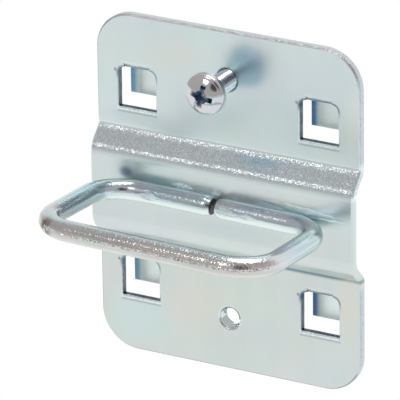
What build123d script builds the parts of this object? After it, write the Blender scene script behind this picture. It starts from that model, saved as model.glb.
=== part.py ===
"""Pliers holder for a perforated tool panel: folded plate with four hooks, wire loop and locking screw.

Millimetres. X runs to the right, Y runs back into the panel and Z runs up. The origin is the middle of the four
hooks, on the back face of the plate's flats, which is the face that turns to the panel.
"""
import os
from math import radians, sin, tan

from build123d import *

# Folded plate: blank, fold and edges
sheet = 1.5
plate_width = 55.0
plate_height = 67.4
plate_drop = 0.45
corner_radius = 7.5
edge_break = 0.35

# Raised band across the middle of the plate
band_height = 15.1
band_rise = 3.2
ramp_angle = 45.0
root_fold_radius = 1.0
band_fold_radius = 3.0

# Four windows and the hooks lanced out of them, on the panel's square hole pitch
hole_pitch = 38.0
window_width = 8.0
window_height = 9.25
window_lift = 0.225
window_top_corner = 1.5
window_break = 0.2
lance_gap = 0.12
hook_root = 1.0
hook_gap = 3.1
hook_bend_radius = 0.1
hook_short = 1.4

# Two plunged and tapped holes on the centre line, drawn at the thread's outside size
thread_diameter = 4.0
thread_clearance = 0.05
tapped_spacing = 47.5
mouth_break = 0.45
collar_wall = 0.65
collar_height = 0.9

# Wire loop welded to the band
wire_diameter = 4.0
loop_width = 50.0
loop_depth = 30.3
loop_inner_radius = 5.2
loop_height = 0.4
loop_tilt = 3.5
loop_lean = 1.0
weld_set = 0.2
butt_gap = 1.0
wire_end_break = 0.5

# Pan head machine screw, driven part of the way in
screw_length = 10.0
screw_stand = 7.2
head_diameter = 8.0
head_height = 2.9
head_flank = 1.3
head_edge_break = 0.5
tip_chamfer = 0.5
recess_span = 5.4
recess_floor = 1.7
recess_depth = 1.9
recess_wing = 1.05
recess_core = 1.3
recess_turn = 13.0

front = -sheet
band_front = front - band_rise
tapped_radius = thread_diameter / 2 + thread_clearance
tapped_heights = (tapped_spacing / 2, -tapped_spacing / 2)
half_pitch = hole_pitch / 2
window_drop = window_height / 2 - window_lift
window_bottoms = [(x, z - window_drop) for x in (-half_pitch, half_pitch) for z in (half_pitch, -half_pitch)]


def bent_strip(start, runs, bends):
    """Side view of a bent sheet, drawn down its middle line as runs and bends, then thickened to both faces."""
    pieces = [PolarLine(start, runs[0], direction=(0, -1))]
    for (turn, inner_radius), run in zip(bends, runs[1:]):
        bend = JernArc(pieces[-1] @ 1, pieces[-1] % 1, inner_radius + sheet / 2, turn)
        pieces += [bend, PolarLine(bend @ 1, run, direction=bend % 1)]
    return trace(pieces, sheet)


def plate_side():
    """The folded plate about its own middle: flat, ramp forward, band, ramp back, flat."""
    slope = radians(ramp_angle)
    root_setback = (root_fold_radius + sheet / 2) * tan(slope / 2)
    band_setback = (band_fold_radius + sheet / 2) * tan(slope / 2)
    flat = plate_height / 2 - band_height / 2 - band_rise / tan(slope) - root_setback
    ramp = band_rise / sin(slope) - root_setback - band_setback
    band = band_height - 2 * band_setback
    forward = (-ramp_angle, root_fold_radius), (ramp_angle, band_fold_radius)
    backward = (ramp_angle, band_fold_radius), (-ramp_angle, root_fold_radius)
    return bent_strip((-sheet / 2, plate_height / 2), (flat, ramp, band, ramp, flat), forward + backward)


def hook_side():
    """One hook, up from the window's bottom edge: bent back out of the plate, then down behind the panel."""
    bend = hook_bend_radius + sheet / 2
    back_run = hook_gap + sheet - 2 * bend
    drop = window_height - 2 * bend - hook_short
    bends = (90, hook_bend_radius), (-90, hook_bend_radius)
    return bent_strip((-sheet / 2, window_height + hook_root), (hook_root, back_run, drop), bends)


def side_extrude(profile, width):
    """Carries a side view, drawn as (Y, Z), across the part from -X to +X."""
    return Pos(-width / 2) * extrude(Plane.YZ * profile, width)


def front_extrude(outline, reach):
    """Carries a front view, drawn as (X, Z), the same reach to the front and to the back."""
    return Pos(0, reach) * extrude(Plane.XZ * outline, 2 * reach)


def front_rim(body):
    """Edges where the front side of the sheet ends at its cut walls."""
    faces = body.faces()
    front_faces = faces.filter_by(lambda f: f.normal_at().Y < -0.3)
    walls = faces.filter_by(lambda f: abs(f.normal_at().Y) < 0.01)
    return front_faces.edges() & walls.edges()


def window_outline():
    """One window about its middle, with wide corners where the hook's root is and square ones at its foot."""
    outline = Rectangle(window_width, window_height)
    return fillet(outline.vertices().group_by(Axis.Y)[-1], window_top_corner)


def make_plate():
    """The folded blank with its windows cut, hooks bent out of them and holes plunged to the back."""
    past_sheet = 2 * (band_rise + sheet)
    blank = Pos(0, -plate_drop) * RectangleRounded(plate_width, plate_height, corner_radius)
    plate = Pos(0, 0, -plate_drop) * side_extrude(plate_side(), plate_width)
    plate = plate & front_extrude(blank, past_sheet)
    plate = chamfer(front_rim(plate), edge_break)

    window = window_outline()
    mouth = offset(window, window_break, kind=Kind.INTERSECTION)
    for x, z in window_bottoms:
        middle = z + window_height / 2
        plate -= front_extrude(Pos(x, middle) * window, past_sheet)
        plate -= Pos(x, front, middle) * loft([Plane.XZ * mouth, Plane.XZ.offset(-window_break) * window])

    hook = side_extrude(hook_side(), window_width - 2 * lance_gap)
    for x, z in window_bottoms:
        plate += Pos(x, 0, z) * hook

    for z in tapped_heights:
        collar = Circle(tapped_radius + collar_wall)
        plate += Pos(0, 0, z) * extrude(Plane.XZ * collar, -collar_height)
        plate -= Pos(0, 0, z) * front_extrude(Circle(tapped_radius), past_sheet)
    mouths = plate.edges().filter_by(GeomType.CIRCLE).filter_by(
        lambda e: abs(e.radius - tapped_radius) < 0.001 and abs(e.center().Y - front) < 0.001
    )
    return chamfer(mouths, mouth_break)


def make_loop():
    """Round wire bent to an open rectangle, its butt at the back, with a flat where it is welded to the band."""
    half = (loop_width - wire_diameter) / 2
    reach = loop_depth - wire_diameter
    path = FilletPolyline(
        (butt_gap / 2, 0),
        (half, 0),
        (half, -reach),
        (-half, -reach),
        (-half, 0),
        (-butt_gap / 2, 0),
        radius=loop_inner_radius + wire_diameter / 2,
    )
    wire = sweep(Plane(path @ 0, z_dir=path % 0) * Circle(wire_diameter / 2), path=path)
    cut_ends = wire.faces().filter_by(GeomType.PLANE).edges()
    wire = chamfer(cut_ends, wire_end_break)
    run_depth = band_front - wire_diameter / 2 + weld_set
    wire = Pos(0, run_depth, loop_height) * Rot(Y=loop_lean) * Rot(X=-loop_tilt) * wire
    in_front = Pos(0, band_front - loop_depth) * Box(2 * loop_width, 2 * loop_depth, 2 * loop_width)
    return wire & in_front


def make_screw():
    """Screw drawn along Z with the head's seat at zero, then turned so that its tip points to the panel."""
    radius = head_diameter / 2
    dome = head_height - head_flank
    dome_radius = (dome**2 + radius**2) / (2 * dome)
    outline = Line((0, 0), (radius, 0))
    outline += Line((radius, 0), (radius, head_flank))
    outline += RadiusArc((radius, head_flank), (0, head_height), -dome_radius)
    outline += Line((0, head_height), (0, 0))
    head = revolve(Plane.XZ * make_face(outline), Axis.Z)
    shoulder = head.edges().filter_by(GeomType.CIRCLE).filter_by(lambda e: abs(e.center().Z - head_flank) < 0.001)
    head = chamfer(shoulder, head_edge_break)

    wing_side = Polygon(
        (-recess_span / 2, head_height),
        (-recess_floor / 2, head_height - recess_depth),
        (recess_floor / 2, head_height - recess_depth),
        (recess_span / 2, head_height),
        align=None,
    )
    wing = extrude(Plane.XZ * wing_side, recess_wing / 2, both=True)
    core = Pos(0, 0, head_height - recess_depth / 2) * Cone(recess_floor / 2, recess_core, recess_depth)
    recess = Rot(Z=-recess_turn) * (wing + Rot(Z=90) * wing + core)
    head -= recess

    shank = Pos(0, 0, -screw_length / 2) * Cylinder(thread_diameter / 2, screw_length)
    shank = chamfer(shank.edges().group_by(Axis.Z)[0], tip_chamfer)
    seat = Plane((0, front - screw_stand, tapped_heights[0]), x_dir=(1, 0, 0), z_dir=(0, -1, 0))
    return seat * (head + shank)


os.makedirs("parts", exist_ok=True)
export_step(make_plate(), "parts/mounting_plate.step")
export_step(make_loop(), "parts/wire_loop.step")
export_step(make_screw(), "parts/locking_screw.step")
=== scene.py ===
"""Looks for the pliers holder: bright zinc on the folded plate, the wire loop and the locking screw."""
import math

import bmesh
import bpy
from mathutils import Matrix, Vector


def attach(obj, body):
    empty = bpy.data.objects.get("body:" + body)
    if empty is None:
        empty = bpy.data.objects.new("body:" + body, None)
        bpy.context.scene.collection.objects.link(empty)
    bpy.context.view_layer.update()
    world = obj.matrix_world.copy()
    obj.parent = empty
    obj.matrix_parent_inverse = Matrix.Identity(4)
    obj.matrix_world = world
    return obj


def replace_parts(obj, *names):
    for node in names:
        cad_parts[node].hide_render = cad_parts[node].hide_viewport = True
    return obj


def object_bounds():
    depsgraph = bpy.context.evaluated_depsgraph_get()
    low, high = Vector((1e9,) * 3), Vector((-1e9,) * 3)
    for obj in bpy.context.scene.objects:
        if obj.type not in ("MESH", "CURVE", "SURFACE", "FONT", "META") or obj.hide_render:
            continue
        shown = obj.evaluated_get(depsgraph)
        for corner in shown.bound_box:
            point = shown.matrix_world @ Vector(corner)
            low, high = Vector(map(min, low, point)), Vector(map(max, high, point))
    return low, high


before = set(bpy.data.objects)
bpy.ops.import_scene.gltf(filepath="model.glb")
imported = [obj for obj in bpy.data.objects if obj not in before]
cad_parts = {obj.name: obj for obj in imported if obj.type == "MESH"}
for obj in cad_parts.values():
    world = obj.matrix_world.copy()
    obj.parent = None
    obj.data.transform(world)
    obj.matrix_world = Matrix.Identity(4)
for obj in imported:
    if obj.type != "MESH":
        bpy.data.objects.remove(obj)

cad_low, cad_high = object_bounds()


# Mounting plate: one 1.5 mm steel sheet, blanked, pressed with a raised band, lanced into four hooks and
# plunged for two tapped holes. It is barrel plated in bright zinc with a thin clear passivation: satin on the
# flats, and coarse with bright grains where the sheet was folded or sheared.
def feed(tree, socket, value):
    """Links an output to a socket, or sets a plain value on it."""
    if isinstance(value, bpy.types.NodeSocket):
        tree.links.new(value, socket)
    else:
        socket.default_value = value


def step(tree, kind, settings=None, **values):
    """The outputs of a node with its settings and inputs. An input's spaces are written as underscores."""
    made = tree.nodes.new(kind)
    for label, value in (settings or {}).items():
        setattr(made, label, value)
    for label, value in values.items():
        feed(tree, made.inputs[label.replace("_", " ")], value)
    return made.outputs


def sum_up(tree, operation, *values):
    """A Math node's result. Values past the second are taken in one by one."""
    made = tree.nodes.new("ShaderNodeMath")
    made.operation = operation
    for socket, value in zip(made.inputs, values[:2]):
        feed(tree, socket, value)
    if values[2:]:
        return sum_up(tree, operation, made.outputs[0], *values[2:])
    return made.outputs[0]


def product(tree, first, *others):
    """Numbers multiplied together."""
    return sum_up(tree, "MULTIPLY", first, *others) if others else first


def combined(tree, operation, *vectors):
    """A Vector Math node's result."""
    made = tree.nodes.new("ShaderNodeVectorMath")
    made.operation = operation
    for socket, value in zip(made.inputs, vectors):
        feed(tree, socket, value)
    return made.outputs["Value" if operation in ("DISTANCE", "DOT_PRODUCT") else "Vector"]


def rise(tree, value, start, end):
    """Zero before start and one after end, with a smooth step between."""
    smooth = {"interpolation_type": "SMOOTHSTEP"}
    return step(tree, "ShaderNodeMapRange", smooth, Value=value, From_Min=start, From_Max=end)["Result"]


def ridge(tree, value, middle, reach):
    """One at the middle, falling smoothly to zero at the reach to either side."""
    off = sum_up(tree, "ABSOLUTE", sum_up(tree, "SUBTRACT", value, middle))
    return rise(tree, off, reach, 0)


def patch(tree, place, middle, reaches):
    """One in the middle of a spot, falling smoothly to zero at its reaches along X, Y and Z."""
    off = combined(tree, "DIVIDE", combined(tree, "SUBTRACT", place, middle), reaches)
    return rise(tree, combined(tree, "DISTANCE", off, (0, 0, 0)), 1, 0.2)


def spread(tree, factor, low, high):
    """A number between low and high."""
    return step(tree, "ShaderNodeMapRange", Value=factor, To_Min=low, To_Max=high)["Result"]


def tinted(tree, factor, under, over, blend="MIX"):
    """One colour laid over another."""
    settings = {"data_type": "RGBA", "blend_type": blend}
    return step(tree, "ShaderNodeMix", settings, Factor=factor, A=under, B=over)["Result"]


def coated(tree, zinc, colour, *shares):
    """Zinc with a colour laid over it by the product of the shares."""
    return tinted(tree, product(tree, *shares), zinc, colour)


def streaked(tree, zinc, strength, streaks, dark=(0, 0, 0, 1), bright=(1, 1, 1, 1)):
    """Zinc darkened and brightened a little by streaks of zero to one."""
    return tinted(tree, strength, zinc, tinted(tree, streaks, dark, bright), "SOFT_LIGHT")


def noise(tree, vector, scale, detail=2.0, output="Fac"):
    """A noise pattern, its scale in waves per millimetre."""
    return step(tree, "ShaderNodeTexNoise", Vector=vector, Scale=scale, Detail=detail)[output]


def drawn_out(tree, vector, waves, detail):
    """A noise pattern with its own waves per millimetre along X, Y and Z."""
    return noise(tree, combined(tree, "MULTIPLY", vector, waves), 1.0, detail)


def zinc_material(name, roughness):
    """A new metal material, with its tree, its shader and the surface place in millimetres."""
    material = bpy.data.materials.new(name)
    material.use_nodes = True
    tree = material.node_tree
    shader = tree.nodes["Principled BSDF"]
    shader.inputs["Metallic"].default_value = 1
    shader.inputs["Roughness"].default_value = roughness
    place = step(tree, "ShaderNodeTexCoord")["Object"]
    return material, tree, shader, combined(tree, "MULTIPLY", place, (1000, 1000, 1000))


def new_group(name, inputs, output):
    """An empty shader group with named inputs and one output."""
    group = bpy.data.node_groups.new(name, "ShaderNodeTree")
    for label, kind in inputs.items():
        group.interface.new_socket(label, in_out="INPUT", socket_type=kind)
    label, kind = output
    group.interface.new_socket(label, in_out="OUTPUT", socket_type=kind)
    start = group.nodes.new("NodeGroupInput")
    end = group.nodes.new("NodeGroupOutput")
    return group, start.outputs, end.inputs


def placed(tree, group, **values):
    """A shader group's result in a material, with its own values."""
    return step(tree, "ShaderNodeGroup", {"node_tree": group}, **values)[0]


# passivation film: broad pools of faint blue, rose and straw over the zinc
film, given, result = new_group(
    "passivation_film",
    {
        "Place": "NodeSocketVector",
        "Zinc": "NodeSocketColor",
        "Pool Scale": "NodeSocketFloat",
        "Depth": "NodeSocketFloat",
    },
    ("Color", "NodeSocketColor"),
)
pools = noise(film, given["Place"], given["Pool Scale"], 1.0, "Color")
pale = tinted(film, given["Depth"], (0.5, 0.5, 0.5, 1), pools)
film.links.new(tinted(film, 1.0, given["Zinc"], pale, "SOFT_LIGHT"), result[0])

# plating grain: coarse zinc crystals, each leaning its own way, so that some of them flash, and all turned up
# by a lift
grain, given, result = new_group(
    "plating_grain",
    {
        "Place": "NodeSocketVector",
        "Grains Per mm": "NodeSocketFloat",
        "Lean": "NodeSocketFloat",
        "Lift": "NodeSocketFloat",
    },
    ("Normal", "NodeSocketVector"),
)
crystals = step(grain, "ShaderNodeTexVoronoi", Vector=given["Place"], Scale=given["Grains Per mm"])["Color"]
leaning = combined(grain, "MULTIPLY", combined(grain, "SUBTRACT", crystals, (0.5, 0.5, 0.5)), given["Lean"])
leaning = combined(grain, "ADD", leaning, combined(grain, "MULTIPLY", (0, 0, 1), given["Lift"]))
surface = step(grain, "ShaderNodeNewGeometry")["Normal"]
grain.links.new(combined(grain, "NORMALIZE", combined(grain, "ADD", surface, leaning)), result[0])

# lengths in millimetres, where a pair says where a mask begins and where it is full. Folds, slopes and flats
# are counted up and down from the plate's middle, which lies below the hooks' middle, and slope_behind is a
# depth less such a height
plate_drop = 0.45
band_fold = 7.86
plate_fold = 11.06
slope_outer = (11.4, 10.8)
slope_inner = (6.6, 7.5)
slope_behind = (-11.2, -10.6)
slope_foot = (8.5, 11)
fold_line_inner = (7.45, 8.1)
fold_line_outer = (9.2, 8.4)
flats_begin = (12.2, 12.6)
plate_ends = (30.2, 31.2)
brow_ridges = ((6.7, 1.0), (plate_fold - 0.05, 1.0), (band_fold - 0.05, 0.5))

# counted from the part's origin: heights, sides, depths and the lower hole
upper_half = (0, 3)
tint_heights = (-14, 14)
top_edge = (26, 31)
lower_edge = (-29.5, -30.5)
plate_sides = (24.2, 25.2)
left_edge = (-24.2, -25.2)
right_half = (-5, 5)
dull_sides = (27.4, 27.2)
sheet_front = (-1.5, -1.3)
sheet_back = (-0.02, -0.2)
break_front = (-1.48, -1.4)
break_back = (-1.0, -1.1)
wall_front = (-1.38, -1.2)
burr_front = (-1.1, -1.3)
front_face = (-1.2, -1.4)
rim_front = (0.5, 0.0)
hook_begins = (1.5, 3.0)
lower_hole = (0, 0, -23.75)
hole_mouth = (2.56, 2.45)

# the windows: where their middles lie, and sizes about them
window_middle = 19.0
window_lift = 0.225
window_half_width = 4.0
window_half_height = 4.625
rim_radius = 1.3
rim_foot = 2.1

grains_per_mm = 7.5
ramp_lean = 0.16
fold_lean = 0.30
sheared_lean = 0.55
fold_lift = 0.24
flat_roughness = 0.3
ramp_roughness = 0.22
dull_roughness = 0.5
hole_roughness = 0.14
weld_roughening = 0.2

upper_zinc = (0.695, 0.80, 0.805, 1)
lower_zinc = (0.685, 0.75, 0.725, 1)
lower_slope_shade_zinc = (0.60, 0.72, 0.72, 1)
fold_shade_zinc = (0.16, 0.25, 0.29, 1)
weld_and_light_zinc = (0.80, 1.0, 1.0, 1)
ramp_zinc = (0.70, 0.83, 0.86, 1)
dull_shade_zinc = (0.36, 0.40, 0.41, 1)
brow_highlight_zinc = (0.86, 1.0, 1.0, 1)
speckle_zinc = (0.30, 0.31, 0.33, 1)
top_edge_zinc = (0.60, 0.63, 0.64, 1)
side_edge_reflection_zinc = (0.62, 0.68, 0.75, 1)
shaded_chamfer_zinc = (0.40, 0.42, 0.43, 1)
sheared_and_shaded_foot_zinc = (0.06, 0.075, 0.105, 1)
sheared_and_shaded_top_zinc = (0.40, 0.48, 0.54, 1)
burr_zinc = (0.80, 0.95, 0.97, 1)
lip_highlight_zinc = (0.88, 1.0, 1.0, 1)
under_lip_shadow_zinc = (0.34, 0.38, 0.40, 1)
nick_shade_zinc = (0.20, 0.22, 0.25, 1)
left_rim_reflection_zinc = (0.22, 0.33, 0.40, 1)
right_rim_reflection_zinc = (0.12, 0.17, 0.23, 1)
tapped_zinc = (0.70, 0.77, 0.775, 1)
left_hook_zinc = (0.76, 0.85, 0.83, 1)
right_hook_zinc = (0.78, 0.885, 0.875, 1)
left_hook_side_reflection_zinc = (0.22, 0.36, 0.50, 1)
right_hook_side_reflection_zinc = (0.10, 0.17, 0.33, 1)

# spots on the sheet: middle, reaches and, where it is a tint, colour
# a paler weld spot left of the butt, and a long spot right of it that is painted light on the band
weld_and_light_spots = (((-8, -4.7, 2.35), (2.6, 2, 1)), ((18, -4.7, 2), (11, 2, 1.5)))
# painted reflections of the wire's back-left bend in the band: a teal strip, a dark purple spot and a pale
# blue spot
painted_wire_reflections = (
    ((-14.3, -4.7, 2.7), (6.5, 2, 1.3), (0.45, 0.60, 0.63, 1)),
    ((-19.9, -4.7, 3.2), (2.0, 2, 1.5), (0.20, 0.22, 0.36, 1)),
    ((-18.5, -4.7, 5.0), (1.5, 2, 1.0), (0.85, 0.95, 1.0, 1)),
)
film_pools = (
    ((-12, -1.5, 26.5), (10, 5, 6), (0.74, 0.78, 0.74, 1)),
    ((-8, -1.5, -23), (9, 5, 7), (0.74, 0.74, 0.68, 1)),
    ((25.5, -1.5, -16), (3.5, 5, 11), (0.75, 0.75, 0.68, 1)),
    ((26.5, -1.5, 19), (3.5, 5, 9), (0.80, 0.87, 0.80, 1)),
    ((9, -1.5, 16), (9, 5, 5), (0.765, 0.905, 0.905, 1)),
    ((-20, -1.5, -27), (8, 5, 7), (0.64, 0.79, 0.81, 1)),
    ((-19, -1.5, 13.2), (9, 5, 2.6), (0.575, 0.665, 0.67, 1)),
    ((2, -4.7, -4.5), (18, 4, 2.6), (0.59, 0.70, 0.70, 1)),
)

# where the sheet is folded, sheared, tapped and welded, and where light is painted on the band beside the
# welds
plate_zinc, tree, shader, place = zinc_material("plate_zinc", flat_roughness)
at_x, at_y, at_z = step(tree, "ShaderNodeSeparateXYZ", Vector=place)
from_middle = sum_up(tree, "ABSOLUTE", sum_up(tree, "ADD", at_z, plate_drop))
from_side = sum_up(tree, "ABSOLUTE", at_x)
upper = rise(tree, at_z, *upper_half)
lower = sum_up(tree, "SUBTRACT", 1.0, upper)
on_flats = rise(tree, from_middle, *flats_begin)
on_slopes = product(tree, rise(tree, from_middle, *slope_outer), rise(tree, from_middle, *slope_inner))
on_ramp = product(tree, on_slopes, upper)
on_lower_slope = product(tree, on_slopes, lower)
at_plate_fold = ridge(tree, from_middle, plate_fold - 0.25, 0.75)
at_band_fold = product(tree, ridge(tree, from_middle, band_fold - 0.1, 0.5), 1.2)
on_folds = product(tree, sum_up(tree, "ADD", at_plate_fold, at_band_fold), upper)
crisp_fold = rise(tree, from_middle, *fold_line_inner)
crisp_fold = product(tree, crisp_fold, rise(tree, from_middle, *fold_line_outer), upper)
in_hole = combined(tree, "DISTANCE", combined(tree, "MULTIPLY", place, (1, 0, 1)), lower_hole)
in_hole = rise(tree, in_hole, *hole_mouth)
past_hole = sum_up(tree, "SUBTRACT", 1.0, in_hole)
in_sheet = product(tree, rise(tree, at_y, *sheet_front), rise(tree, at_y, *sheet_back))
sheared = product(tree, in_sheet, on_flats, past_hole)
behind = rise(tree, sum_up(tree, "SUBTRACT", at_y, from_middle), *slope_behind)
dull_and_shaded = product(tree, on_lower_slope, behind, rise(tree, from_side, *dull_sides))
welded_and_lit = sum_up(tree, "MAXIMUM", *[patch(tree, place, *spot) for spot in weld_and_light_spots])

# grain and gloss
ramp_grain = product(tree, on_ramp, ramp_lean)
fold_grain = product(tree, on_folds, fold_lean)
lean = sum_up(tree, "ADD", ramp_grain, fold_grain, product(tree, sheared, sheared_lean))
lift = product(tree, crisp_fold, fold_lift)
crystals = placed(tree, grain, Place=place, Grains_Per_mm=grains_per_mm, Lean=lean, Lift=lift)
feed(tree, shader.inputs["Normal"], crystals)
satin = spread(tree, on_ramp, flat_roughness, ramp_roughness)
satin = spread(tree, dull_and_shaded, satin, dull_roughness)
satin = spread(tree, in_hole, satin, hole_roughness)
satin = sum_up(tree, "ADD", satin, product(tree, welded_and_lit, weld_roughening))
feed(tree, shader.inputs["Roughness"], satin)

# tints of the flats, the slopes and the folds, among them painted shade, painted reflections, painted light
# and a painted highlight
zinc = tinted(tree, rise(tree, at_z, *tint_heights), lower_zinc, upper_zinc)
zinc = placed(tree, film, Place=place, Zinc=zinc, Pool_Scale=0.08, Depth=0.25)
# painted shade: the lower slope faces down, so it is tinted a darker teal toward its foot
zinc = coated(tree, zinc, lower_slope_shade_zinc, on_lower_slope, rise(tree, from_middle, *slope_foot))
zinc = coated(tree, zinc, fold_shade_zinc, lower, ridge(tree, from_middle, plate_fold - 0.2, 0.8), 0.9)
# painted reflections of the wire on the band
for middle, reaches, colour in painted_wire_reflections:
    zinc = coated(tree, zinc, colour, patch(tree, place, middle, reaches), 0.7)
# the weld's own paler zinc, with painted light along the band right of the butt
zinc = coated(tree, zinc, weld_and_light_zinc, welded_and_lit)
zinc = streaked(tree, zinc, 0.12, drawn_out(tree, place, (0.35, 1, 0.05), 2.0))
for middle, reaches, colour in film_pools:
    zinc = coated(tree, zinc, colour, patch(tree, place, middle, reaches), 0.6)
zinc = coated(tree, zinc, ramp_zinc, on_ramp)
# the back of the lower slope is rougher, duller zinc, and is painted darker as shade where the top lamp's
# highlight falls
zinc = coated(tree, zinc, dull_shade_zinc, dull_and_shaded)
# painted highlight: the folds are painted paler where the lamp's highlight runs along them
brow_highlights = sum_up(tree, "MAXIMUM", *[ridge(tree, from_middle, *brow) for brow in brow_ridges])
zinc = coated(tree, zinc, brow_highlight_zinc, brow_highlights, upper)
speckle = rise(tree, noise(tree, place, 3.5), 0.62, 0.42)
zinc = coated(tree, zinc, speckle_zinc, sum_up(tree, "MAXIMUM", on_ramp, sheared), speckle, 0.32)

# the plate's outer cut edge, and its broken edge on the left and below, with painted reflection and shade on
# them
# the cut edge is grey on top; on the sides its pale lavender is a painted reflection of the backdrop
edge = tinted(tree, rise(tree, at_z, *top_edge), side_edge_reflection_zinc, top_edge_zinc)
outside = sum_up(tree, "MAXIMUM", rise(tree, from_side, *plate_sides), rise(tree, from_middle, *plate_ends))
zinc = coated(tree, zinc, edge, sheared, outside)
# painted shade: the broken edge is darker only on the left and below, the sides turned from the light
shaded = sum_up(tree, "MAXIMUM", rise(tree, at_x, *left_edge), rise(tree, at_z, *lower_edge))
on_break = product(tree, rise(tree, at_y, *break_front), rise(tree, at_y, *break_back))
zinc = coated(tree, zinc, shaded_chamfer_zinc, on_break, shaded, on_flats)

# the windows, across and up from the middle of each: walls, burr and lip at the foot, nick and rolled rim,
# with painted shade, highlight and reflection among them
across = sum_up(tree, "SUBTRACT", at_x, product(tree, sum_up(tree, "SIGN", at_x), window_middle))
lifted = sum_up(tree, "SUBTRACT", at_z, window_lift)
up = sum_up(tree, "SUBTRACT", lifted, product(tree, sum_up(tree, "SIGN", lifted), window_middle))
past_side = sum_up(tree, "ABSOLUTE", across)
beside = rise(tree, past_side, window_half_width + 0.3, window_half_width + 0.2)
above_foot = rise(tree, up, -window_half_height - 0.3, -window_half_height - 0.2)
below_top = rise(tree, up, window_half_height + 0.3, window_half_height + 0.2)
inside = product(tree, beside, above_foot, below_top)
foot = rise(tree, up, -window_half_height + 0.3, -window_half_height + 0.1)
burr = product(tree, foot, rise(tree, at_y, *burr_front))
plain_wall = rise(tree, up, window_half_height - 0.6, window_half_height - 1.4)
plain_wall = sum_up(tree, "SUBTRACT", plain_wall, burr)
# the window walls: dark navy at the foot and paler toward the top, partly the sheared face's darker zinc and
# partly painted shade in the cut
wall = tinted(tree, rise(tree, up, -window_half_height, window_half_height - 1.5), sheared_and_shaded_foot_zinc, sheared_and_shaded_top_zinc)
zinc = coated(tree, zinc, wall, sheared, rise(tree, at_y, *wall_front), inside, plain_wall)
zinc = coated(tree, zinc, burr_zinc, burr, inside)
on_front = product(tree, rise(tree, at_y, *front_face), on_flats, beside)
# the raised lip under each window is not built: a painted highlight broken into beads stands for it, with a
# painted shadow just under it
beads = rise(tree, noise(tree, place, 2.4), 0.38, 0.52)
zinc = coated(tree, zinc, lip_highlight_zinc, on_front, ridge(tree, up, -window_half_height - 0.32, 0.34), beads)
zinc = coated(tree, zinc, under_lip_shadow_zinc, on_front, ridge(tree, up, -window_half_height - 0.75, 0.34), 0.6)
in_window = step(tree, "ShaderNodeCombineXYZ", X=across, Z=up)[0]
# the nick beside each window is not cut: its shade is painted as a dark spot
nick = patch(tree, in_window, (-window_half_width - 0.55, 0, 2.65), (0.4, 1, 0.5))
zinc = coated(tree, zinc, nick_shade_zinc, nick, 0.8)
past_side = sum_up(tree, "MAXIMUM", sum_up(tree, "SUBTRACT", past_side, window_half_width - rim_radius), 0)
past_foot = sum_up(tree, "MAXIMUM", sum_up(tree, "SUBTRACT", up, rim_foot), 0)
from_rim = step(tree, "ShaderNodeCombineXYZ", X=past_side, Y=past_foot)[0]
at_rim = ridge(tree, combined(tree, "DISTANCE", from_rim, (0, 0, 0)), rim_radius + 0.05, 0.5)
# painted reflection: the rolled rim round each window's upper corners is painted dark teal, darker on the
# right windows
to_right = rise(tree, at_x, *right_half)
rolled = tinted(tree, to_right, left_rim_reflection_zinc, right_rim_reflection_zinc)
zinc = coated(tree, zinc, rolled, at_rim, rise(tree, at_y, *rim_front), rise(tree, up, 0.5, 2.2), 0.9)
zinc = coated(tree, zinc, tapped_zinc, in_hole)

# the hooks, with a painted reflection along the left of each, bluer and darker on the right hooks
hook_side_reflection = tinted(tree, to_right, left_hook_side_reflection_zinc, right_hook_side_reflection_zinc)
hook_front = tinted(tree, to_right, left_hook_zinc, right_hook_zinc)
on_side = rise(tree, across, -window_half_width + 2.1, -window_half_width + 0.6)
hook = tinted(tree, on_side, hook_front, hook_side_reflection)
hook = streaked(tree, hook, 0.35, drawn_out(tree, place, (0.12, 1, 1.4), 2.0))
zinc = coated(tree, zinc, hook, rise(tree, at_y, *hook_begins))
feed(tree, shader.inputs["Base Color"], zinc)
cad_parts["mounting_plate"].data.materials.clear()
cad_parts["mounting_plate"].data.materials.append(plate_zinc)


# Wire loop: 4 mm drawn steel wire, bent to an open rectangle with its two cut ends butted at the back. It is
# resistance welded to the band, which leaves a flat against the band and the electrodes' marks in front.
wire_radius = 0.002
wire_half_width = 0.023
wire_reach = 0.026296
wire_bend = 0.0072
butt_half_gap = 0.0005
end_round = 0.0016
end_loss = 0.25
band_front = -0.0047
weld_marks = ((-0.0130, 0.0013, 0.00030), (0.0022, 0.0026, 0.00028), (0.0075, 0.0012, 0.00016))
loop_place = Vector((0, -0.0065, 0.0004))
loop_tilt = math.radians(-3.5)
loop_lean = math.radians(1)
wire_lean = 0.0175
wire_grains_per_mm = 4.5
wire_grain_lean = 0.15
worn_grain_lean = 0.9
wire_roughness = 0.12
bend_steps = 28
wire_step = 0.0002
wire_sides = 64
end_reach = 0.00002
draw_depth = 0.09
front_wire_zinc = (0.64, 0.65, 0.64, 1)
rear_wire_zinc = (0.55, 0.667, 0.712, 1)
dark_streak = (0.25, 0.23, 0.22, 1)
bright_streak = (0.75, 0.77, 0.78, 1)
top_wire_reflection_zinc = (0.56, 0.63, 0.64, 1)
dark_band_reflection_zinc = (0.46, 0.45, 0.44, 1)
spotted_wire_zinc = (0.38, 0.35, 0.33, 1)
pale_floor_reflection_zinc = (0.80, 0.89, 0.87, 1)
shaded_wire_zinc = (0.30, 0.35, 0.44, 1)
cut_end_shade_zinc = (0.10, 0.10, 0.11, 1)
rust_brown = (0.17, 0.115, 0.09, 1)
rust_middle = (-20.4, -33.0, 2.3)


def bumped(tree, shader, height, depth, normal=None):
    """Raises the surface by a height of zero to one, times a depth in millimetres, over a given normal."""
    made = tree.nodes.new("ShaderNodeBump")
    made.inputs["Distance"].default_value = depth / 1000
    feed(tree, made.inputs["Height"], height)
    if normal:
        feed(tree, made.inputs["Normal"], normal)
    feed(tree, shader.inputs["Normal"], made.outputs["Normal"])


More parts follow.
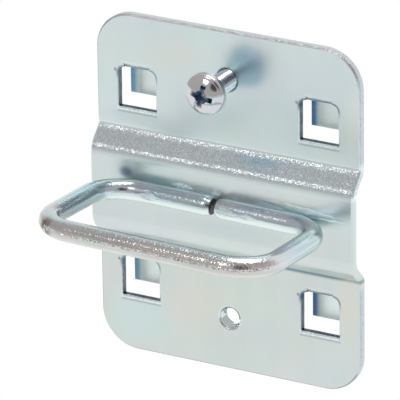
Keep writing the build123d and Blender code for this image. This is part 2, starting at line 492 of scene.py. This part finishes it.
wire_zinc, tree, shader, place = zinc_material("wire_zinc", wire_roughness)
drawn = step(tree, "ShaderNodeAttribute", {"attribute_name": "drawn"})["Vector"]
along = combined(tree, "MULTIPLY", drawn, (1000, 1000, 1000))
at_x, at_y, at_z = step(tree, "ShaderNodeSeparateXYZ", Vector=place)
height = sum_up(tree, "ADD", at_z, product(tree, at_x, wire_lean))
front = rise(tree, at_y, -28, -30)
back_run = rise(tree, at_y, -14, -11)

# drawing lines, pits and grain
lines = drawn_out(tree, along, (1.6, 1.6, 0.05), 3.0)
pits = noise(tree, place, 2.6)
rough = sum_up(tree, "ADD", product(tree, lines, 0.8), product(tree, pits, 0.5))
lean = product(tree, front, rise(tree, at_x, -22, 10), wire_grain_lean)
lean = sum_up(tree, "ADD", lean, product(tree, front, ridge(tree, height, 2.1, 0.45), worn_grain_lean))
crystals = placed(tree, grain, Place=place, Grains_Per_mm=wire_grains_per_mm, Lean=lean)
bumped(tree, shader, rough, draw_depth, crystals)

# tints along the wire: its front and back runs with painted reflections and shade along them, rust, and the
# cut ends painted dark as shade
zinc = tinted(tree, rise(tree, at_y, -29, -20), front_wire_zinc, rear_wire_zinc)
zinc = placed(tree, film, Place=place, Zinc=zinc, Pool_Scale=0.12, Depth=0.3)
streaks = rise(tree, drawn_out(tree, along, (1.1, 1.1, 0.06), 3.0), 0.35, 0.65)
zinc = streaked(tree, zinc, 0.55, streaks, dark_streak, bright_streak)
# painted reflection: the top of the front run is tinted teal
zinc = coated(tree, zinc, top_wire_reflection_zinc, front, rise(tree, height, 3.1, 3.8))
# painted reflection: a darker brown band along the upper front of the front run stands for the room reflected
# there
zinc = coated(tree, zinc, dark_band_reflection_zinc, front, ridge(tree, height, 3.05, 0.55), 0.3)
spots = product(tree, rise(tree, height, 1.9, 2.3), rise(tree, pits, 0.52, 0.40))
zinc = coated(tree, zinc, spotted_wire_zinc, front, spots, 0.25)
# painted reflection: the lower half of the back run is painted pale, standing for the floor reflected there
zinc = coated(tree, zinc, pale_floor_reflection_zinc, back_run, rise(tree, height, 0.8, -0.4))
zinc = coated(tree, zinc, shaded_wire_zinc, back_run, ridge(tree, height, 2.0, 0.5), 0.4)
rust = rise(tree, combined(tree, "DISTANCE", place, rust_middle), 2.6, 0.6)
zinc = coated(tree, zinc, rust_brown, rust, rise(tree, noise(tree, place, 0.9, 3.0), 0.36, 0.54))
# painted shade: the cut ends face each other across the butt gap and are painted near black
cut_ends = step(tree, "ShaderNodeAttribute", {"attribute_name": "end_face"})["Fac"]
feed(tree, shader.inputs["Base Color"], coated(tree, zinc, cut_end_shade_zinc, cut_ends))


def new_tree(name, inputs):
    """An empty Geometry Nodes tree with named inputs, and what it is given."""
    tree = bpy.data.node_groups.new(name, "GeometryNodeTree")
    tree.interface.new_socket("Geometry", in_out="INPUT", socket_type="NodeSocketGeometry")
    for label, kind in inputs.items():
        tree.interface.new_socket(label, in_out="INPUT", socket_type=kind)
    tree.interface.new_socket("Geometry", in_out="OUTPUT", socket_type="NodeSocketGeometry")
    given = tree.nodes.new("NodeGroupInput")
    return tree, given.outputs


def finish_tree(tree, geometry, material):
    """Ends a tree in Realize Instances and Set Material."""
    real = step(tree, "GeometryNodeRealizeInstances", Geometry=geometry)
    painted = step(tree, "GeometryNodeSetMaterial", Geometry=real[0], Material=material)
    end = tree.nodes.new("NodeGroupOutput")
    tree.links.new(painted[0], end.inputs[0])


def grown(name, mesh, tree, **values):
    """The plain mesh that a tree makes of a starting mesh, with the tree's inputs set."""
    seed = bpy.data.objects.new(name + "_seed", mesh)
    bpy.context.scene.collection.objects.link(seed)
    modifier = seed.modifiers.new("grow", "NODES")
    modifier.node_group = tree
    for item in tree.interface.items_tree:
        label = item.name.replace(" ", "_")
        if item.item_type == "SOCKET" and item.in_out == "INPUT" and label in values:
            modifier[item.identifier] = values[label]
    evaluated = seed.evaluated_get(bpy.context.evaluated_depsgraph_get())
    made = bpy.data.meshes.new_from_object(evaluated)
    made.name = name
    bpy.data.objects.remove(seed)
    return made


def new_piece(name, mesh, body):
    """A finished piece at the origin, riding on its body."""
    made = bpy.data.objects.new(name, mesh)
    bpy.context.scene.collection.objects.link(made)
    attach(made, body)
    return made


bent_wire, given = new_tree(
    "bent_wire",
    {
        "Wire Radius": "NodeSocketFloat",
        "Bend Radius": "NodeSocketFloat",
        "End Round": "NodeSocketFloat",
        "End Loss": "NodeSocketFloat",
        "Material": "NodeSocketMaterial",
    },
)
path = step(bent_wire, "GeometryNodeMeshToCurve", Mesh=given["Geometry"])[0]
path = step(
    bent_wire,
    "GeometryNodeFilletCurve",
    {"mode": "POLY"},
    Curve=path,
    Count=bend_steps,
    Radius=given["Bend Radius"],
)[0]
path = step(bent_wire, "GeometryNodeResampleCurve", {"mode": "LENGTH"}, Curve=path, Length=wire_step)[0]
path = step(bent_wire, "GeometryNodeSetCurveNormal", {"mode": "Z_UP"}, Curve=path)[0]
run = step(bent_wire, "GeometryNodeSplineParameter")["Length"]
whole = step(bent_wire, "GeometryNodeSplineLength")["Length"]
nearest_end = sum_up(bent_wire, "MINIMUM", run, sum_up(bent_wire, "SUBTRACT", whole, run))
past_round = sum_up(bent_wire, "SUBTRACT", 1.0, sum_up(bent_wire, "DIVIDE", nearest_end, given["End Round"]))
past_round = sum_up(bent_wire, "POWER", sum_up(bent_wire, "MAXIMUM", past_round, 0.0), 2.0)
slim = sum_up(bent_wire, "SUBTRACT", 1.0, sum_up(bent_wire, "MULTIPLY", past_round, given["End Loss"]))
ring = step(
    bent_wire, "GeometryNodeCurvePrimitiveCircle", Resolution=wire_sides, Radius=given["Wire Radius"]
)[0]


def kept(tree, geometry, value, kind):
    """Keeps a value on the points of a curve, to be read again on the mesh."""
    made = tree.nodes.new("GeometryNodeCaptureAttribute")
    made.capture_items.new(kind, "Kept")
    feed(tree, made.inputs["Geometry"], geometry)
    feed(tree, made.inputs["Kept"], value)
    return made.outputs["Geometry"], made.outputs["Kept"]


def stored(tree, geometry, kind, name, value):
    """Stores a value on a mesh under a name, for its material to read."""
    settings = {"data_type": kind}
    made = step(tree, "GeometryNodeStoreNamedAttribute", settings, Geometry=geometry, Name=name, Value=value)
    return made[0]


path, length = kept(bent_wire, path, run, "FLOAT")
path, end_distance = kept(bent_wire, path, nearest_end, "FLOAT")
ring, around = kept(bent_wire, ring, step(bent_wire, "GeometryNodeInputPosition")[0], "VECTOR")
tube = step(
    bent_wire, "GeometryNodeCurveToMesh", Curve=path, Profile_Curve=ring, Scale=slim, Fill_Caps=True
)[0]
apart = step(bent_wire, "ShaderNodeSeparateXYZ", Vector=around)
lay = step(bent_wire, "ShaderNodeCombineXYZ", X=apart["X"], Y=apart["Y"], Z=length)[0]
tube = stored(bent_wire, tube, "FLOAT_VECTOR", "drawn", lay)
end_face = step(bent_wire, "FunctionNodeCompare", {"operation": "LESS_THAN"}, A=end_distance, B=end_reach)[0]
tube = stored(bent_wire, tube, "FLOAT", "end_face", end_face)
finish_tree(bent_wire, tube, given["Material"])

bends = bpy.data.meshes.new("loop_bends")
corners = [
    (butt_half_gap, 0, 0),
    (wire_half_width, 0, 0),
    (wire_half_width, -wire_reach, 0),
    (-wire_half_width, -wire_reach, 0),
    (-wire_half_width, 0, 0),
    (-butt_half_gap, 0, 0),
]
bends.from_pydata(corners, [(i, i + 1) for i in range(len(corners) - 1)], [])
loop_mesh = grown(
    "loop_wire",
    bends,
    bent_wire,
    Wire_Radius=wire_radius,
    Bend_Radius=wire_bend,
    End_Round=end_round,
    End_Loss=end_loss,
    Material=wire_zinc,
)
for point in loop_mesh.vertices:
    if point.co.y > -1.5 * wire_radius and abs(point.co.x) < wire_half_width - wire_bend:
        for mark, half_length, depth in weld_marks:
            press = math.exp(-(((point.co.x - mark) / half_length) ** 2))
            point.co.y = max(point.co.y, depth * press - wire_radius)
tilted = Matrix.Rotation(loop_lean, 4, "Y") @ Matrix.Rotation(loop_tilt, 4, "X")
loop_mesh.transform(Matrix.Translation(loop_place) @ tilted)
for point in loop_mesh.vertices:
    point.co.y = min(point.co.y, band_front)


def cleaned(mesh, sharp_angle):
    """Merges doubles, turns faces outwards and shades smooth, with edges over an angle kept sharp."""
    shape = bmesh.new()
    shape.from_mesh(mesh)
    bmesh.ops.remove_doubles(shape, verts=shape.verts, dist=1e-6)
    bmesh.ops.recalc_face_normals(shape, faces=shape.faces)
    for face in shape.faces:
        face.smooth = True
    for edge in shape.edges:
        edge.smooth = len(edge.link_faces) == 2 and edge.calc_face_angle() < math.radians(sharp_angle)
    shape.to_mesh(mesh)
    shape.free()
    return mesh


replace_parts(new_piece("loop_wire", cleaned(loop_mesh, 30), "holder"), "wire_loop")


# Weld flash: zinc and steel squeezed out above the wire at its two welds, as low smooth ridges on the band.
# They are part of the weld and have the sheet's finish, dulled by the heat.
flash_runs = (((-0.0103, 0.0023), (-0.0057, 0.0023), 0.00022), ((0.0085, 0.0029), (0.0262, 0.0014), 0.00020))
flash_half_width = 0.0007
flash_sink = 0.00005
flash_waver = 0.2
flash_least = 0.02
flash_steps = 60
flash_sides = 10

shape = bmesh.new()
for start, end, flash_height in flash_runs:
    rings = []
    for number in range(flash_steps + 1):
        share = number / flash_steps
        x = start[0] + (end[0] - start[0]) * share
        z = start[1] + (end[1] - start[1]) * share
        swell = math.sqrt(max(0.0, math.sin(math.pi * share)))
        size = swell * (1 + flash_waver * math.sin(37 * share) * math.cos(11 * share)) + flash_least
        turns = [math.pi * side / flash_sides for side in range(flash_sides + 1)]
        ring = []
        for turn in turns:
            y = band_front + flash_sink - flash_height * size * math.sin(turn)
            ring.append(shape.verts.new((x, y, z + flash_half_width * size * math.cos(turn))))
        rings.append(ring)
    for one, two in zip(rings, rings[1:]):
        for side in range(flash_sides):
            shape.faces.new((one[side], one[side + 1], two[side + 1], two[side]))
        shape.faces.new((one[-1], one[0], two[0], two[-1]))
    shape.faces.new(rings[0])
    shape.faces.new(rings[-1])
flash_mesh = bpy.data.meshes.new("weld_flash")
shape.to_mesh(flash_mesh)
shape.free()
flash_mesh.materials.append(plate_zinc)
new_piece("weld_flash", cleaned(flash_mesh, 50), "holder")


# Window corners: the lancing punch has round upper corners, so a small web of the sheet stays in each of
# them, in front of the hook's bend. They belong to the pressed sheet and have its finish.
web_windows_x = (-0.019, 0.019)
web_windows_z = (0.019225, -0.018775)
window_edge = 0.004
web_front = -0.00148
web_back = -0.0001
web_radius = 0.0013
web_foot = 0.0021
web_top = 0.0044
web_side = 0.0042
web_steps = 12

outline = []
for number in range(web_steps + 1):
    turn = math.pi / 2 * number / web_steps
    outline.append((window_edge - web_radius * (1 - math.cos(turn)), web_foot + web_radius * math.sin(turn)))
outline += [(window_edge - web_radius, web_top), (web_side, web_top), (web_side, web_foot)]
shape = bmesh.new()
for window_x in web_windows_x:
    for window_z in web_windows_z:
        for side in (-1, 1):
            points = [shape.verts.new((window_x + side * x, web_front, window_z + z)) for x, z in outline]
            face = shape.faces.new(points)
            raised = bmesh.ops.extrude_face_region(shape, geom=[face])["geom"]
            ends = [part for part in raised if isinstance(part, bmesh.types.BMVert)]
            bmesh.ops.translate(shape, verts=ends, vec=(0, web_back - web_front, 0))
corner_mesh = bpy.data.meshes.new("window_corners")
shape.to_mesh(corner_mesh)
shape.free()
corner_mesh.materials.append(plate_zinc)
new_piece("window_corners", cleaned(corner_mesh, 30), "holder")


# Locking screw: a zinc plated M4 pan head machine screw with a cross recess, cold headed and thread rolled.
# It stands 7 mm out of the upper tapped hole and is driven in to clamp the holder to its panel.
screw_z = 0.02375
seat_y = -0.0087
head_radius = 0.004
head_flank = 0.0013
head_height = 0.0029
shoulder_round = 0.0007
dome_radius = 0.0058
thread_crest = 0.002
thread_root = 0.00158
thread_pitch = 0.0007
shank_length = 0.010
recess_span = 0.0054
recess_floor = 0.0017
recess_depth = 0.0019
recess_wing = 0.00105
recess_core = 0.0013
recess_turn = 13.0
foot_break = 0.0003
shoulder_turn = 68
shoulder_steps = 10
dome_steps = 20
dome_inset = 0.0001
punch_over = 0.0004
core_point = 0.0002
recess_break = 0.00008
tip_loss = 0.0002
tip_length = 0.0004
core_overlap = 0.00002
seat_overlap = 0.0001
thread_short = 0.0006
thread_start = 0.0005
thread_foot_share = 0.46
thread_crest_share = 0.07
thread_steps = 60
head_sides = 96
shank_sides = 64
core_sides = 48
ripple_depth = 0.02
head_zinc = (0.64, 0.67, 0.68, 1)
recess_shade_zinc = (0.20, 0.26, 0.36, 1)
seat_zinc = (0.56, 0.77, 0.90, 1)
shank_zinc = (0.62, 0.745, 0.82, 1)
screw_place = Matrix.Translation((0, seat_y, screw_z)) @ Matrix.Rotation(math.radians(90), 4, "X")

screw_zinc, tree, shader, place = zinc_material("screw_zinc", 0.10)
bumped(tree, shader, noise(tree, place, 1.6), ripple_depth)
past_seat = sum_up(tree, "SUBTRACT", step(tree, "ShaderNodeSeparateXYZ", Vector=place)["Y"], seat_y * 1000)
dome = combined(tree, "DISTANCE", place, (0, (seat_y - head_height + dome_radius) * 1000, screw_z * 1000))
sunk = rise(tree, dome, dome_radius * 1000 - 0.12, dome_radius * 1000 - 0.5)
zinc = placed(tree, film, Place=place, Zinc=head_zinc, Pool_Scale=0.2, Depth=0.4)
# painted shade: the cross recess is painted dark blue for the light it traps
zinc = coated(tree, zinc, recess_shade_zinc, sunk, rise(tree, past_seat, -0.9, -1.0))
shank = tinted(tree, rise(tree, past_seat, 0.3, 0.8), seat_zinc, shank_zinc)
feed(tree, shader.inputs["Base Color"], coated(tree, zinc, shank, rise(tree, past_seat, -0.2, -0.1)))


def turned_mesh(name, outline, sides):
    """Lathes (radius, height) points about Z, from axis to axis or round to the first point again."""
    shape = bmesh.new()
    rings = []
    for radius, height in outline:
        if radius == 0:
            rings.append([shape.verts.new((0, 0, height))])
        else:
            turns = [2 * math.pi * i / sides for i in range(sides)]
            points = [(radius * math.cos(turn), radius * math.sin(turn), height) for turn in turns]
            rings.append([shape.verts.new(point) for point in points])
    for low, high in zip(rings, rings[1:]):
        for i in range(sides):
            j = (i + 1) % sides
            corners = [low[i % len(low)], low[j % len(low)], high[j % len(high)], high[i % len(high)]]
            shape.faces.new(list(dict.fromkeys(corners)))
    mesh = bpy.data.meshes.new(name)
    shape.to_mesh(mesh)
    shape.free()
    return mesh


def pan_outline():
    """The pan head from the seat's middle over the flank, rounded shoulder and dome to its top."""
    shoulder_in = head_radius - shoulder_round
    shoulder_low = head_flank - shoulder_round / 2
    dome_middle = head_height - dome_radius
    outline = [(0, 0), (head_radius - foot_break, 0), (head_radius, foot_break)]
    for i in range(shoulder_steps + 1):
        angle = math.radians(shoulder_turn) * i / shoulder_steps
        radius = shoulder_in + shoulder_round * math.cos(angle)
        outline.append((radius, shoulder_low + shoulder_round * math.sin(angle)))
    face_radius = outline[-1][0] - dome_inset
    lean = math.acos(face_radius / dome_radius)
    for i in range(dome_steps):
        angle = lean + (math.pi / 2 - lean) * i / dome_steps
        outline.append((dome_radius * math.cos(angle), dome_middle + dome_radius * math.sin(angle)))
    return outline + [(0, head_height)]


def recess_mesh():
    """The cross punch's two tapered wings, standing on the recess floor."""
    floor = head_height - recess_depth
    top = head_height + punch_over
    slope = (recess_span - recess_floor) / 2 / recess_depth
    half_floor = recess_floor / 2
    half_top = half_floor + slope * (top - floor)
    half_wing = recess_wing / 2
    shape = bmesh.new()
    for turn in (0, 90):
        turned = Matrix.Rotation(math.radians(turn - recess_turn), 3, "Z")
        corners = []
        for z, half in ((floor, half_floor), (top, half_top)):
            for x, y in ((-half, -half_wing), (half, -half_wing), (half, half_wing), (-half, half_wing)):
                corners.append(shape.verts.new(turned @ Vector((x, y, z))))
        for ids in ((3, 2, 1, 0), (4, 5, 6, 7), (0, 1, 5, 4), (1, 2, 6, 5), (2, 3, 7, 6), (3, 0, 4, 7)):
            shape.faces.new([corners[i] for i in ids])
    mesh = bpy.data.meshes.new("recess_wings")
    shape.to_mesh(mesh)
    shape.free()
    return mesh


def with_cut(mesh, cutters, bevel):
    """A mesh with solids cut out of it and its sharp edges broken."""
    blank = bpy.data.objects.new("blank", mesh)
    bpy.context.scene.collection.objects.link(blank)
    tools = []
    for cutter in cutters:
        tool = bpy.data.objects.new("punch", cutter)
        bpy.context.scene.collection.objects.link(tool)
        cut = blank.modifiers.new("cut", "BOOLEAN")
        cut.operation = "DIFFERENCE"
        cut.use_self = True
        cut.object = tool
        tools.append(tool)
    broken = blank.modifiers.new("break", "BEVEL")
    broken.width = bevel
    broken.segments = 2
    broken.angle_limit = math.radians(40)
    made = bpy.data.meshes.new_from_object(blank.evaluated_get(bpy.context.evaluated_depsgraph_get()))
    for tool in tools + [blank]:
        bpy.data.objects.remove(tool)
    return made


core_top = head_height + punch_over
core_slope = (recess_core - recess_floor / 2) / recess_depth
core_punch = turned_mesh(
    "recess_core",
    [
        (0, head_height - recess_depth - core_point),
        (recess_floor / 2, head_height - recess_depth),
        (recess_floor / 2 + core_slope * (core_top - head_height + recess_depth), core_top),
        (0, core_top),
    ],
    core_sides,
)
pan_mesh = turned_mesh("pan_head", pan_outline(), head_sides)
head_mesh = with_cut(pan_mesh, (recess_mesh(), core_punch), recess_break)

thread_ridge, given = new_tree(
    "thread_ridge",
    {
        "Root Radius": "NodeSocketFloat",
        "Crest Radius": "NodeSocketFloat",
        "Pitch": "NodeSocketFloat",
        "Turns": "NodeSocketFloat",
        "Material": "NodeSocketMaterial",
    },
)
middle = product(thread_ridge, sum_up(thread_ridge, "ADD", given["Root Radius"], given["Crest Radius"]), 0.5)
half_depth = sum_up(thread_ridge, "SUBTRACT", given["Crest Radius"], middle)
foot = product(thread_ridge, given["Pitch"], thread_foot_share)
top = product(thread_ridge, given["Pitch"], thread_crest_share)
helix = step(
    thread_ridge,
    "GeometryNodeCurveSpiral",
    Resolution=thread_steps,
    Rotations=given["Turns"],
    Start_Radius=middle,
    End_Radius=middle,
    Height=product(thread_ridge, given["Pitch"], given["Turns"]),
)[0]
helix = step(thread_ridge, "GeometryNodeSetCurveNormal", {"mode": "Z_UP"}, Curve=helix)[0]
under = product(thread_ridge, half_depth, -1.0)


def corner(x, y):
    """A corner of the ridge's section."""
    return step(thread_ridge, "ShaderNodeCombineXYZ", X=x, Y=y)[0]


section = step(
    thread_ridge,
    "GeometryNodeCurvePrimitiveQuadrilateral",
    {"mode": "POINTS"},
    Point_1=corner(half_depth, product(thread_ridge, foot, -1.0)),
    Point_2=corner(half_depth, foot),
    Point_3=corner(under, top),
    Point_4=corner(under, product(thread_ridge, top, -1.0)),
)[0]
flight = step(thread_ridge, "GeometryNodeCurveToMesh", Curve=helix, Profile_Curve=section, Fill_Caps=True)[0]
finish_tree(thread_ridge, flight, given["Material"])

core_radius = thread_root + core_overlap
shank_core = turned_mesh(
    "shank_core",
    [
        (0, -shank_length),
        (thread_root - tip_loss, -shank_length),
        (core_radius, -shank_length + tip_length),
        (core_radius, seat_overlap),
        (0, seat_overlap),
    ],
    shank_sides,
)
rolled = grown(
    "rolled_thread",
    bpy.data.meshes.new("thread_seed"),
    thread_ridge,
    Root_Radius=thread_root,
    Crest_Radius=thread_crest,
    Pitch=thread_pitch,
    Turns=(shank_length - thread_short) / thread_pitch,
    Material=screw_zinc,
)
rolled.transform(Matrix.Translation((0, 0, -shank_length + thread_start)))


def joined(name, meshes, place, material):
    """Several meshes as one, set in place, with one material."""
    shape = bmesh.new()
    for mesh in meshes:
        shape.from_mesh(mesh)
    made = bpy.data.meshes.new(name)
    shape.to_mesh(made)
    shape.free()
    made.transform(place)
    made.materials.clear()
    made.materials.append(material)
    return made


screw_mesh = joined("locking_screw_zinc", (head_mesh, shank_core, rolled), screw_place, screw_zinc)
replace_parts(new_piece("pan_screw", cleaned(screw_mesh, 32), "screw"), "locking_screw")


# Plunged holes: the punch drew the sheet in round each mouth. The lower one is empty and shows its M4 thread,
# which is the same ridge as on the screw, turned inwards. The upper one is smooth, so the screw can travel.
lower_hole_z = -0.02375
hole_radius = 0.00206
mouth_round = 0.00045
mouth_y = -0.0015
tapped_crest = 0.00180
tapped_front = -0.0011
tapped_back = 0.0008
lip_depth = 0.6
lip_overlap = 0.0001
lip_sides = 64

tapped = grown(
    "tapped_thread",
    bpy.data.meshes.new("tapped_seed"),
    thread_ridge,
    Root_Radius=hole_radius,
    Crest_Radius=tapped_crest,
    Pitch=thread_pitch,
    Turns=(tapped_back - tapped_front) / thread_pitch,
    Material=plate_zinc,
)
tapped = joined(
    "tapped_thread",
    (tapped,),
    Matrix.Translation((0, tapped_front, lower_hole_z)) @ Matrix.Rotation(math.radians(-90), 4, "X"),
    plate_zinc,
)
new_piece("lower_thread", cleaned(tapped, 32), "holder")

lip_outline = []
for degrees in range(0, 100, 10):
    turn = math.radians(degrees)
    radius = hole_radius + mouth_round * (1 - math.sin(turn))
    lip_outline.append((radius, mouth_y + mouth_round * (1 - math.cos(turn))))
lip_outline.append((hole_radius + mouth_round * lip_depth, mouth_y + mouth_round * lip_depth + lip_overlap))
lip_outline.append(lip_outline[0])
lips = []
for z in (screw_z, lower_hole_z):
    lip = turned_mesh("lip", lip_outline, lip_sides)
    lips.append(lip)
    lip.transform(Matrix.Translation((0, 0, z)) @ Matrix.Rotation(math.radians(-90), 4, "X"))
lip_mesh = joined("hole_lips", lips, Matrix.Identity(4), plate_zinc)
new_piece("hole_lips", cleaned(lip_mesh, 50), "holder")


# Stage: a pale floor below the hanging part, soft studio light and the camera at the photograph's angle.
# The floor runs far to the back and fades in front, where the darker room begins.
floor_drop = 0.6
floor_fade = (-3.0, -1.6)
floor_front = -3.2
floor_back = 8.0
floor_half_width = 6.0
room_tone = (0.56, 0.51, 0.51, 1)
backdrop_tone = (0.95, 0.96, 0.97, 1)
shade_tone = (0.10, 0.085, 0.10, 1)
shade_toward = Vector((0.42, -0.82, 0.40)).normalized()
backdrop_rise = (0.15, 0.65)
shade_rise = (0.93, 0.985)
floor_tone = (0.86, 0.87, 0.87, 1)
white = (1, 1, 1, 1)

floor_z = cad_low.z - floor_drop
floor_mesh = bpy.data.meshes.new("floor")
floor_mesh.from_pydata(
    [
        (-floor_half_width, floor_front, floor_z),
        (floor_half_width, floor_front, floor_z),
        (floor_half_width, floor_back, floor_z),
        (-floor_half_width, floor_back, floor_z),
    ],
    [],
    [(0, 1, 2, 3)],
)
floor = bpy.data.objects.new("floor", floor_mesh)
bpy.context.scene.collection.objects.link(floor)

floor_pale = bpy.data.materials.new("floor_pale")
floor_pale.use_nodes = True
tree = floor_pale.node_tree
tree.nodes.remove(tree.nodes["Principled BSDF"])
seen = step(tree, "ShaderNodeLightPath")
shown = sum_up(tree, "MAXIMUM", seen["Is Camera Ray"], seen["Is Glossy Ray"], seen["Is Transmission Ray"])
depth = step(tree, "ShaderNodeSeparateXYZ", Vector=step(tree, "ShaderNodeTexCoord")["Object"])["Y"]
near = sum_up(tree, "MAXIMUM", rise(tree, depth, *floor_fade), seen["Is Camera Ray"])
paint = step(tree, "ShaderNodeBsdfDiffuse", Color=floor_tone)[0]
glow = step(tree, "ShaderNodeEmission", Color=tinted(tree, near, room_tone, white))[0]
mix = tree.nodes.new("ShaderNodeMixShader")
feed(tree, mix.inputs["Fac"], shown)
feed(tree, mix.inputs[1], paint)
feed(tree, mix.inputs[2], glow)
feed(tree, tree.nodes["Material Output"].inputs["Surface"], mix.outputs[0])
floor.data.materials.append(floor_pale)

world = bpy.data.worlds.new("studio")
bpy.context.scene.world = world
world.use_nodes = True
tree = world.node_tree
toward = step(tree, "ShaderNodeTexCoord")["Generated"]
backward = step(tree, "ShaderNodeSeparateXYZ", Vector=toward)["Y"]
facing = combined(tree, "DOT_PRODUCT", toward, shade_toward)
room = tinted(tree, rise(tree, backward, *backdrop_rise), room_tone, backdrop_tone)
room = tinted(tree, rise(tree, facing, *shade_rise), room, shade_tone)
straight = step(tree, "ShaderNodeLightPath")["Is Camera Ray"]
feed(tree, tree.nodes["Background"].inputs["Color"], tinted(tree, straight, room, white))


def soft_lamp(name, toward, distance, size, power):
    """A round soft box in a direction from the part, turned to it."""
    data = bpy.data.lights.new(name, "AREA")
    data.shape = "DISK"
    data.size = size
    data.energy = power
    lamp = bpy.data.objects.new(name, data)
    bpy.context.scene.collection.objects.link(lamp)
    lamp.location = Vector(toward).normalized() * distance
    lamp.rotation_mode = "QUATERNION"
    lamp.rotation_quaternion = (-lamp.location).to_track_quat("-Z", "Y")


soft_lamp("front_box", toward=(-0.20, -0.755, 0.625), distance=1.2, size=0.42, power=1.1)
soft_lamp("top_box", toward=(0.06, 0.10, 0.99), distance=1.0, size=0.80, power=4.0)

camera_azimuth = math.radians(29.208)
camera_elevation = math.radians(22.185)
camera_roll = math.radians(-0.887)
camera_distance = 0.9478
camera_aim = Vector((-0.00332, -0.00625, 0.00114))
camera_lens = 462.8
camera_sensor = 36
camera_data = bpy.data.cameras.new("camera")
camera_data.sensor_width = camera_sensor
camera_data.lens = camera_lens
camera = bpy.data.objects.new("camera", camera_data)
bpy.context.scene.collection.objects.link(camera)
back = Vector(
    (
        math.sin(camera_azimuth) * math.cos(camera_elevation),
        -math.cos(camera_azimuth) * math.cos(camera_elevation),
        math.sin(camera_elevation),
    )
)
level = Vector((math.cos(camera_azimuth), math.sin(camera_azimuth), 0))
turned = (Matrix.Rotation(camera_roll, 3, back) @ level).normalized()
upright = back.cross(turned)
camera.matrix_world = Matrix.Translation(camera_aim + back * camera_distance) @ Matrix(
    (turned, upright, back)
).transposed().to_4x4()
bpy.context.scene.camera = camera
bpy.context.scene.view_settings.view_transform = "Standard"
